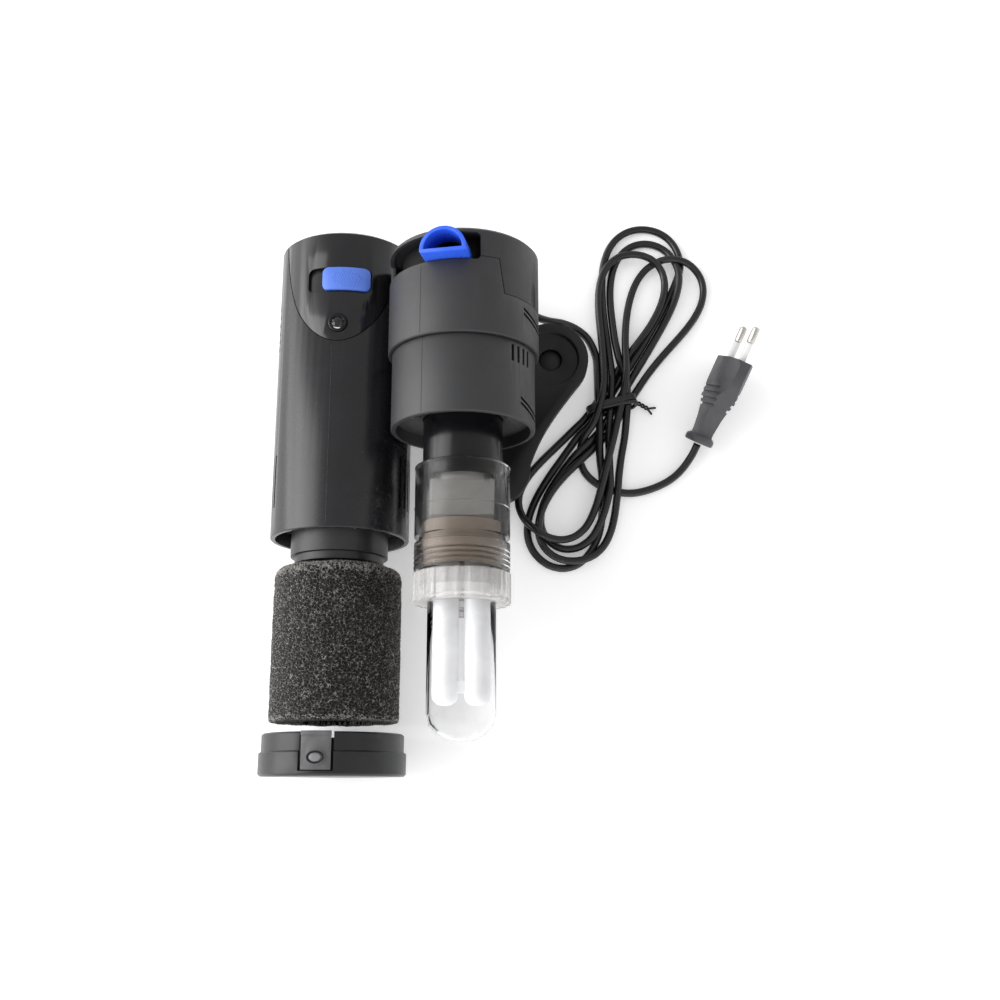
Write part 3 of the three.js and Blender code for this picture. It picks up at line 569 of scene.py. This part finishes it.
# mouldings: name, darkest and lightest tone, roughness, grain's size in mm, strength and depth in mm, smudges
# clear pieces: name, tint, roughness, index of refraction
MATERIALS = {
    "casing": moulded("gloss_black_casing", (0.006, 0.006, 0.007), (0.010, 0.010, 0.012), 0.27, 0.4, 0.2,
                      0.015, 0.02),
    "panel": moulded("gloss_black_panel", (0.006, 0.006, 0.007), (0.010, 0.010, 0.012), 0.17, 0.4, 0.15,
                     0.015, 0.02),
    "head": moulded("satin_black_head", (0.021, 0.021, 0.0225), (0.028, 0.028, 0.03), 0.5, 0.3, 0.3, 0.02,
                    0.03),
    "neck": moulded("polished_black_neck", (0.004, 0.004, 0.005), (0.009, 0.009, 0.01), 0.22, 0.5, 0.15, 0.02,
                    specular=0.3),
    "cap": moulded("spark_textured_cap", (0.007, 0.007, 0.008), (0.013, 0.013, 0.0145), 0.36, 0.3, 0.5, 0.03,
                   specular=0.42),
    "latch": moulded("textured_latch", (0.03, 0.03, 0.031), (0.12, 0.12, 0.124), 0.45, 0.3, 1.0, 0.09),
    "button": moulded("latch_button_face", (0.12, 0.12, 0.125), (0.24, 0.24, 0.245), 0.3, 0.3, 0.5, 0.04),
    "switch": moulded("switch_blue", (0.08, 0.18, 0.64), (0.11, 0.22, 0.74), 0.42, 0.3, 0.4, 0.03, 0.08),
    "nozzle": moulded("nozzle_blue", (0.022, 0.095, 0.70), (0.035, 0.13, 0.82), 0.3, 0.4, 0.25, 0.02, 0.07),
    "core": moulded("core_moulding", (0.010, 0.010, 0.011), (0.022, 0.022, 0.024), 0.4, 0.4, 0.4, 0.03),
    "bracket": moulded("bracket_black", (0.004, 0.004, 0.0045), (0.008, 0.008, 0.009), 0.45, 0.35, 0.35, 0.03,
                       specular=0.4),
    "rubber": moulded("suction_rubber", (0.003, 0.003, 0.003), (0.008, 0.008, 0.008), 0.62, 0.5, 0.3, 0.04,
                      0.1),
    "cord": moulded("cord_pvc", (0.005, 0.005, 0.005), (0.011, 0.0105, 0.011), 0.3, 0.5, 0.25, 0.03, 0.08),
    "gland": moulded("gland_rubber", (0.008, 0.008, 0.008), (0.018, 0.018, 0.018), 0.55, 0.4, 0.4, 0.04,
                     0.08),
    "tie": moulded("tie_plastic", (0.004, 0.004, 0.004), (0.014, 0.014, 0.014), 0.4, 0.3, 0.4, 0.03, 0.08),
    "plug": moulded("plug_rubber", (0.045, 0.045, 0.051), (0.075, 0.075, 0.083), 0.5, 0.35, 0.45, 0.04, 0.08),
    "sleeving": moulded("pin_sleeve_white", (0.8, 0.8, 0.79), (0.92, 0.92, 0.91), 0.4, 0.4, 0.3, 0.02, 0.08),
    "pin": metal("nickel_pin", (0.5, 0.485, 0.45), (0.7, 0.68, 0.64), 0.28),
    "lens": clear("lens_clear", (0.75, 0.76, 0.78), 0.04, streaks=0.05),
    # colour darker than the other black mouldings, as painted shade inside the head's outlet slot
    "drum": moulded("drum_black_painted_shade", (0.0015, 0.0015, 0.0015), (0.004, 0.004, 0.004), 0.6, 0.4, 0.25, 0.02,
                    specular=0.15),
    "impeller": moulded("impeller_plastic", (0.1, 0.12, 0.16), (0.18, 0.2, 0.25), 0.4, 0.4, 0.3, 0.03, 0.08),
    "ferrite": moulded("ferrite_magnet", (0.03, 0.03, 0.032), (0.07, 0.07, 0.072), 0.55, 0.2, 0.6, 0.03, 0.1),
    "laminations": metal("lamination_steel", (0.25, 0.25, 0.26), (0.45, 0.45, 0.46), 0.45),
    "steel": metal("stainless_steel", (0.45, 0.45, 0.46), (0.62, 0.62, 0.63), 0.25),
    # screw metal, darker than the stainless steel
    "screw": metal("dark_screw_metal", (0.05, 0.05, 0.052), (0.12, 0.12, 0.125), 0.35),
    "copper": metal("enamelled_copper", (0.42, 0.14, 0.06), (0.62, 0.25, 0.11), 0.35),
    "board": moulded("board_laminate", (0.01, 0.09, 0.04), (0.02, 0.16, 0.07), 0.4, 0.5, 0.3, 0.02, 0.08),
    "can": moulded("rotor_can_plastic", (0.03, 0.03, 0.032), (0.06, 0.06, 0.063), 0.4, 0.4, 0.3, 0.03, 0.08),
    "lamp": moulded("lamp_glass_white", (0.93, 0.935, 0.94), (0.98, 0.98, 0.985), 0.35, 0.6, 0.15, 0.02),
    "lamp_base": moulded("lamp_base_white", (0.5, 0.49, 0.47), (0.68, 0.67, 0.65), 0.45, 0.4, 0.3, 0.03),
    "seal": moulded("silicone_seal", (0.46, 0.37, 0.3), (0.58, 0.48, 0.4), 0.45, 0.5, 0.3, 0.04, 0.08),
    "smoke": clear("smoke_clear_moulding", (0.66, 0.655, 0.65), 0.15, 1.25, streaks=0.35, haze=0.06),
    "ridge": clear("clear_ridges", (0.97, 0.95, 0.94), 0.14, 1.12, streaks=0.2, haze=0.05),
    "frost": clear("frosted_clear_nut", (0.98, 0.965, 0.955), 0.2, 1.2, streaks=0.12, haze=0.05, weight=0.76),
    "quartz": clear("quartz_glass", (0.99, 0.99, 0.995), 0.02, 1.13, 0.2, 0.01, streak_mm=2.2, depth_mm=0.05),
    "foam": foam_material(),
}


# ---------------------------------------------------------------- pieces

def finish(piece, material, body):
    """Gives a piece its material and the body that it rides on."""
    piece.data.materials.clear()
    piece.data.materials.append(MATERIALS[material])
    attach(piece, body)
    return piece


def body_of(name):
    """The body that a CAD node rides on."""
    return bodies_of(NODES[name])[0]


# CAD nodes shown as finer copies: material, slot in the record, millimetres by which edges are rounded, nodes
SKINS = [
    ("casing", "casing_black", 0.3, ["casing_shell"]),
    ("nozzle", "signal_blue", 0.3, ["outlet_nozzle"]),
    ("panel", "casing_black", 0.2, ["face_panel"]),
    ("switch", "signal_blue", 0.3, ["slide_switch"]),
    ("neck", "trim_black", 0.15, ["indicator_bezel"]),
    ("lens", "smoke_clear", 0.15, ["indicator_lens"]),
    ("core", "trim_black", 0.25, ["cartridge_core"]),
    ("cap", "casing_black", 0.35, ["end_cap"]),
    ("latch", "trim_black", 0.25, ["cap_latch"]),
    ("head", "casing_black", 0.3, ["head_cap", "head_sleeve", "head_base"]),
    ("screw", "steel", 0.1, ["base_screw_1", "base_screw_2", "base_screw_3"]),
    ("steel", "steel", 0.1, ["rotor_shaft"]),
    ("drum", "trim_black", 0.25, ["outlet_drum", "volute_plate"]),
    ("can", "trim_black", 0.15, ["rotor_can"]),
    ("laminations", "steel", 0.1, ["motor_core"]),
    ("copper", "copper", 0.15, ["motor_coil_1", "motor_coil_2"]),
    ("board", "board_green", 0.1, ["ballast_board"]),
    ("ferrite", "ferrite", 0.15, ["rotor_magnet"]),
    ("impeller", "trim_black", 0.12, ["impeller"]),
    ("neck", "trim_black", 0.3, ["lamp_neck"]),
    ("lamp_base", "lamp_white", 0.3, ["lamp_base"]),
    ("lamp", "lamp_white", 0.0, ["lamp_tube"]),
    ("smoke", "smoke_clear", 0.2, ["lamp_chamber"]),
    ("seal", "seal_amber", 0.2, ["sleeve_seal"]),
    ("quartz", "quartz", 0.0, ["glass_sleeve"]),
    ("frost", "frost_clear", 0.2, ["chamber_nut"]),
    ("bracket", "trim_black", 0.5, ["bracket_plate", "bracket_clip"]),
    ("rubber", "rubber_black", 0.3, ["suction_cup_1", "suction_cup_2"]),
    ("gland", "rubber_black", 0.3, ["cord_gland"]),
    ("plug", "rubber_black", 0.5, ["plug_body"]),
    ("sleeving", "lamp_white", 0.2, ["pin_sleeve_1", "pin_sleeve_2"]),
    ("pin", "steel", 0.3, ["plug_pin_1", "plug_pin_2"]),
]


MERGE = 0.004 * MM                # vertices closer than this become one
FLAT = math.radians(0.6)          # faces that meet at less than this become one
ROUNDED_ABOVE = math.radians(40)  # edges sharper than this are rounded
CRISP_ABOVE = 38                  # degrees above which an edge isn't shaded smooth


def skin(name, material, rounding):
    """A copy of a CAD node with rounded edges and smooth shading, shown in the node's place."""
    mesh = NODES[name].data.copy()
    work = bmesh.new()
    work.from_mesh(mesh)
    bmesh.ops.remove_doubles(work, verts=work.verts, dist=MERGE)
    bmesh.ops.dissolve_limit(work, angle_limit=FLAT, verts=work.verts, edges=work.edges)
    work.to_mesh(mesh)
    work.free()
    piece = bpy.data.objects.new(name + "_skin", mesh)
    bpy.context.scene.collection.objects.link(piece)
    if rounding:
        edge = piece.modifiers.new("edges", "BEVEL")
        edge.limit_method = "ANGLE"
        edge.angle_limit = ROUNDED_ABOVE
        edge.width = rounding * MM
        edge.segments = 2
        apply_modifiers(piece)
    smooth_by_angle(piece, CRISP_ABOVE)
    finish(piece, material, body_of(name))
    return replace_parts(piece, name)


def make_skins():
    """The finer copies of all nodes in the list."""
    for material, slot_name, rounding, names in SKINS:
        for name in names:
            skin(name, material, rounding)


def make_switch_dots():
    """A field of small raised dots in the middle of the slide, for grip."""
    rows, columns = 3, 5                      # on each side of the middle one
    row_pitch, column_pitch = 1.25 * MM, 1.35 * MM
    half_rows, half_columns = 3.4, 5.4        # the oval that holds the dots, in pitches
    size = 0.36 * MM
    slide_rise = 1.1 * MM                     # of the slide's face above the casing's
    low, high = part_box("slide_switch")
    axis = middle("foam_block")
    middle_y = (low[1] + high[1]) / 2
    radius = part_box("casing_shell")[1][2] - axis.z + slide_rise
    left, right = (math.asin((x - axis.x) / radius) for x in (low[0], high[0]))
    centre = (left + right) / 2
    dots = []
    for row in range(-rows, rows + 1):
        for column in range(-columns, columns + 1):
            if (row / half_rows) ** 2 + (column / half_columns) ** 2 > 1:
                continue
            angle = centre + (column + 0.5 * (row % 2)) * column_pitch / radius
            dots.append(dome(axis, radius, angle, middle_y + row * row_pitch, size))
    finish(join(dots, "switch_grip_dots"), "switch", "switch")


def dome(axis, radius, angle, y, size):
    """A low dome on a round face about Y, sunk a little into it."""
    sunk = 0.12 * MM
    made = bmesh.new()
    bmesh.ops.create_uvsphere(made, u_segments=10, v_segments=6, radius=size)
    out = Vector((math.sin(angle), 0, math.cos(angle)))
    place = Vector((axis.x, y, axis.z)) + out * (radius - sunk)
    made.transform(Matrix.Translation(place))
    mesh = bpy.data.meshes.new("dome")
    made.to_mesh(mesh)
    made.free()
    thing = bpy.data.objects.new("dome", mesh)
    bpy.context.scene.collection.objects.link(thing)
    return thing


def point_on(axis, radius, degrees, y):
    """A point on a round face about Y, turned from straight up towards +X."""
    a = math.radians(degrees)
    return Vector((axis.x + radius * math.sin(a), y, axis.z + radius * math.cos(a)))


def make_parting_lines():
    """The faint ridges that the mould's joint leaves along the casing and the head."""
    casing_degrees, head_degrees = -4, -32    # where they run, from straight up towards +X
    below_slot = 97.5 * MM                    # the sleeve's ridge ends just under the outlet's slot
    thickness, sunk = 0.13 * MM, 0.02 * MM
    end_gap = 1 * MM
    count = 40
    casing = middle("foam_block")
    head = middle("head_base")
    names = ("casing_shell", "head_sleeve", "head_base")
    casing_r, sleeve_r, base_r = ((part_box(n)[1][0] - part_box(n)[0][0]) / 2 for n in names)
    casing_low, sleeve_low, base_low = (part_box(n)[0][1] for n in names)
    runs = [
        ("casing", "casing", casing, casing_r, casing_degrees, casing_low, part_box("face_panel")[0][1]),
        ("head", "pump_head", head, sleeve_r, head_degrees, sleeve_low, below_slot),
        ("head", "pump_head", head, base_r, head_degrees, base_low, sleeve_low),
    ]
    for k, (material, body, axis, radius, degrees, low, high) in enumerate(runs):
        ys = np.linspace(low + end_gap, high - end_gap, count)
        points = [point_on(axis, radius - sunk, degrees, y) for y in ys]
        ridge = tube(f"parting_line_{k + 1}", points, round_section(thickness, 8))
        finish(ridge, material, body)


def hoop(name, axis, radius, y, thickness, squash=1.0):
    """A ring about Y through a round face, its section flattened along the radius."""
    around, sides = 96, 10
    vertices = []
    for k in range(around):
        a = 360 * k / around
        for n in range(sides):
            b = 2 * math.pi * n / sides
            r = radius + thickness * squash * math.cos(b)
            vertices.append(point_on(axis, r, a, y + thickness * math.sin(b)))
    return add_mesh(name, vertices, grid_faces(around, sides, closed_rows=True))


def make_chamber_rings():
    """The fine ridges low on the lamp chamber, the lip at its top and a line round its middle."""
    axis = middle("lamp_neck")
    low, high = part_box("lamp_chamber")
    radius = (high[0] - low[0]) / 2
    first_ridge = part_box("chamber_nut")[1][1] + 2.6 * MM
    pitch = 2.3 * MM
    lip, line = high[1] - 0.9 * MM, high[1] - 20.2 * MM
    rings = [hoop("ring", axis, radius, first_ridge + pitch * k, 0.36 * MM, 0.5) for k in range(4)]
    rings.append(hoop("ring", axis, radius - 0.1 * MM, lip, 0.5 * MM, 0.6))
    rings.append(hoop("ring", axis, radius, line, 0.3 * MM, 0.5))
    finish(join(rings, "chamber_rings"), "ridge", "pump_head")


def make_seal_ribs():
    """The soft ribs of the seal below its body, between the glass sleeve and the chamber."""
    radius, thickness, pitch = 17.2 * MM, 1.1 * MM, 2.3 * MM
    first_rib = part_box("sleeve_seal")[0][1] - 1.2 * MM
    axis = middle("lamp_neck")
    ribs = [hoop("rib", axis, radius, first_rib - pitch * k, thickness) for k in range(3)]
    finish(join(ribs, "seal_ribs"), "seal", body_of("sleeve_seal"))


def make_latch_button():
    """The latch's oval button: a dark ring round a pale, slightly domed face."""
    half_width, half_height = 3.5 * MM, 2.45 * MM
    below_middle = 3.1 * MM                   # of the latch, where the button sits
    around, ring_sides = 48, 10
    ring_spread, ring_rise = 0.16, 0.4 * MM   # the first as a share of the oval
    face_outlines = [(0.84, -0.5), (0.8, 0.05), (0.6, 0.28), (0.35, 0.4), (0.1, 0.44)]
    low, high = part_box("cap_latch")
    axis = middle("foam_block")
    centre = Vector(((low[0] + high[0]) / 2, (low[1] + high[1]) / 2 - below_middle, 0))
    degrees = math.degrees(math.asin((centre.x - axis.x) / (high[2] - axis.z)))
    top = point_on(axis, high[2] - axis.z + 0.05 * MM, degrees, centre.y)
    out = (top - Vector((axis.x, centre.y, axis.z))).normalized()
    side = Vector((out.z, 0, -out.x))

    def oval(share, raised):
        """An outline of the button at a share of its size, raised by so many metres."""
        along = Vector((0, half_height * share, 0))
        points = []
        for k in range(around):
            a = 2 * math.pi * k / around
            across = side * (half_width * share * math.cos(a))
            points.append(top + across + along * math.sin(a) + out * raised)
        return points

    rings = []
    for k in range(ring_sides):
        b = 2 * math.pi * k / ring_sides
        rings += oval(1 + ring_spread * math.cos(b), ring_rise * math.sin(b))
    ring = add_mesh("latch_button_ring", rings, grid_faces(ring_sides, around, closed_rows=True))
    finish(ring, "neck", "latch")
    face = [p for share, rise in face_outlines for p in oval(share, rise * MM)]
    faces = grid_faces(len(face_outlines), around)
    faces.append(tuple(range(around - 1, -1, -1)))
    faces.append(tuple(len(face) - around + k for k in range(around)))
    finish(add_mesh("latch_button_face", face, faces), "button", "latch")


# foam cartridge: every vertex of a fine grid sinks into the cells of the foam
FOAM_STEP = 0.42                  # of the grid
FOAM_CELL = 1.5
FOAM_DEPTH = 1.3                  # of the deepest cells
FOAM_BORE = 17.0                  # radius of the bore, 1 mm clear of the core's tube


def foam_profile(low, high, outer):
    """The block's outline in (radius, y): a nearly square lower edge and a sloping shoulder."""
    points = [(FOAM_BORE, low + 0.5), (outer - 1.2, low + 0.3), (outer - 0.3, low + 0.9), (outer, low + 2.5)]
    points += [(outer, high - 6.5), (outer - 0.7, high - 4), (outer - 3.2, high - 1.8)]
    points += [(outer - 7, high - 0.7), (FOAM_BORE, high - 0.2)]
    flat = np.array([(r, y, 0) for r, y in points])
    return even_path(flat, FOAM_STEP)[:, :2]


def within(value):
    """The value kept between 0 and 1."""
    return min(1, max(0, value))


def make_foam():
    """The foam sleeve, with the height of each point between cell and strut kept for its material, lifted on
    the shoulder and the lower edge as a painted highlight.
    """
    low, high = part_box("foam_block")
    centre = middle("foam_block")
    outer = (high[0] - low[0]) / 2 / MM - 0.2
    bottom, top = low[1] / MM, high[1] / MM
    shoulder_height, shoulder_width, edge_height = 8, 7, 3.4      # the parts whose struts get a painted highlight
    # strut height, and the gain of the painted highlight on the shoulder and the lower edge
    strut_tone, rim_highlight_gain = 0.93, 0.52
    end_tilt = 1.5                # how steeply the cells of both ends sink in along the block
    profile = foam_profile(bottom, top, outer)
    columns = int(2 * math.pi * outer / FOAM_STEP)
    strut_heights_with_painted_highlight = []
    out = []
    for r, y in profile:
        for k in range(columns):
            a = 2 * math.pi * k / columns
            spot = Vector((r * math.cos(a), y, r * math.sin(a)))
            distances, _ = noise.voronoi(spot / FOAM_CELL)
            hollow = within((distances[1] - distances[0]) * 2.0)
            # masks of the painted highlight: the sloping shoulder at the top and the lower edge
            shoulder_highlight = within((y - top + shoulder_height) / 3) * within((r - outer + shoulder_width) / 3)
            rim_highlight = max(shoulder_highlight, within((bottom + edge_height - y) / 2))
            # the struts of the shoulder and the lower edge are lifted as a painted highlight, in colour and
            # bump
            strut_heights_with_painted_highlight.append((1 - hollow) * (strut_tone + rim_highlight_gain * rim_highlight))
            # fine grit and slow waves
            uneven = 0.45 * noise.noise(spot / 0.7) + 0.5 * noise.noise(spot / 7)
            dent = hollow ** 0.7 * FOAM_DEPTH + uneven
            tilt = -1 if y < bottom + 1 else 1 if y > top - 5 else 0
            way = Vector((math.cos(a), tilt * end_tilt, math.sin(a))).normalized()
            spot -= way * max(0, dent) * within((r - FOAM_BORE) / 2)
            out.append((spot.x * MM + centre.x, spot.y * MM, spot.z * MM + centre.z))
    # the last row joins the first across the wall of the bore
    foam = add_mesh("foam_cartridge", out, grid_faces(len(profile), columns, closed_rows=True))
    strut_height_and_painted_light = foam.data.attributes.new("strut_height_and_painted_light", "FLOAT", "POINT")
    strut_height_and_painted_light.data.foreach_set("value", strut_heights_with_painted_highlight)
    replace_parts(finish(foam, "foam", "cartridge"), "foam_block")


# ---------------------------------------------------------------- stage

def make_stage():
    """A white light table, lit a little from below."""
    size = 3.0                    # metres from its middle to its edges
    glow = 0.3
    floor = add_mesh("floor", [(-size, -size, 0), (size, -size, 0), (size, size, 0), (-size, size, 0)],
                     [(0, 1, 2, 3)], smooth=False)
    material, tree, shader = new_material("floor_white")
    drift = noise_at(tree, place_of(tree), 300, 2)           # cloudy spots about 0.3 m across
    tone = ramp(tree, drift, [(0.3, (0.92, 0.92, 0.92)), (0.7, (0.95, 0.95, 0.95))])
    tree.links.new(tone, shader.inputs["Base Color"])
    shader.inputs["Roughness"].default_value = 0.7
    shader.inputs["Emission Color"].default_value = (1, 1, 1, 1)
    shader.inputs["Emission Strength"].default_value = glow
    floor.data.materials.append(material)


def make_key():
    """A weak soft light from the upper left, which looks at the origin."""
    place = Vector((-0.95, 0.15, 0.8))
    data = bpy.data.lights.new("key", "AREA")
    data.shape = "RECTANGLE"
    data.size = data.size_y = 0.8
    data.energy = 5
    light = bpy.data.objects.new("key", data)
    light.location = place
    light.rotation_mode = "QUATERNION"
    light.rotation_quaternion = (-place).to_track_quat("-Z", "Y")
    bpy.context.scene.collection.objects.link(light)


def make_world():
    """A white tent, brighter on the left and low in front."""
    world = bpy.data.worlds.new("studio")
    world.use_nodes = True
    tree = world.node_tree
    sky = tree.nodes["Background"]
    sky.inputs["Color"].default_value = (1, 1, 1, 1)
    where = node(tree, "TexCoord")
    parts = node(tree, "SeparateXYZ")
    tree.links.new(where.outputs["Generated"], parts.inputs["Vector"])
    both = node(tree, "Math", operation="MULTIPLY")
    # brightness from left to right, and from the front to the back
    across = [(0.0, 5.4), (0.05, 3.6), (0.13, 2.0), (0.2, 1.05), (0.3, 0.7), (0.5, 0.58), (0.75, 0.66),
              (1.0, 1.0)]
    along = [(0.0, 2.6), (0.16, 1.9), (0.26, 1.0), (1.0, 1.0)]
    for k, (name, tones) in enumerate((("X", across), ("Y", along))):
        place = ranged(tree, parts.outputs[name], 0, 1, -1, 1)
        tree.links.new(ramp(tree, place, [(x, (v, v, v)) for x, v in tones]), both.inputs[k])
    tree.links.new(both.outputs[0], sky.inputs["Strength"])
    bpy.context.scene.world = world
    bpy.context.scene.view_settings.view_transform = "Standard"


# ---------------------------------------------------------------- assembly

make_camera()
cord, cord_path, cord_length = make_cord()
finish(cord, "cord", "pump_head")
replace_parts(cord, "cord_lead", "cord_hank", "cord_tail")
tie = make_tie()
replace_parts(finish(tie, "tie", "pump_head"), "cord_tie")
make_skins()
make_switch_dots()
make_parting_lines()
make_chamber_rings()
make_seal_ribs()
make_latch_button()
make_foam()
make_stage()
make_world()
make_key()
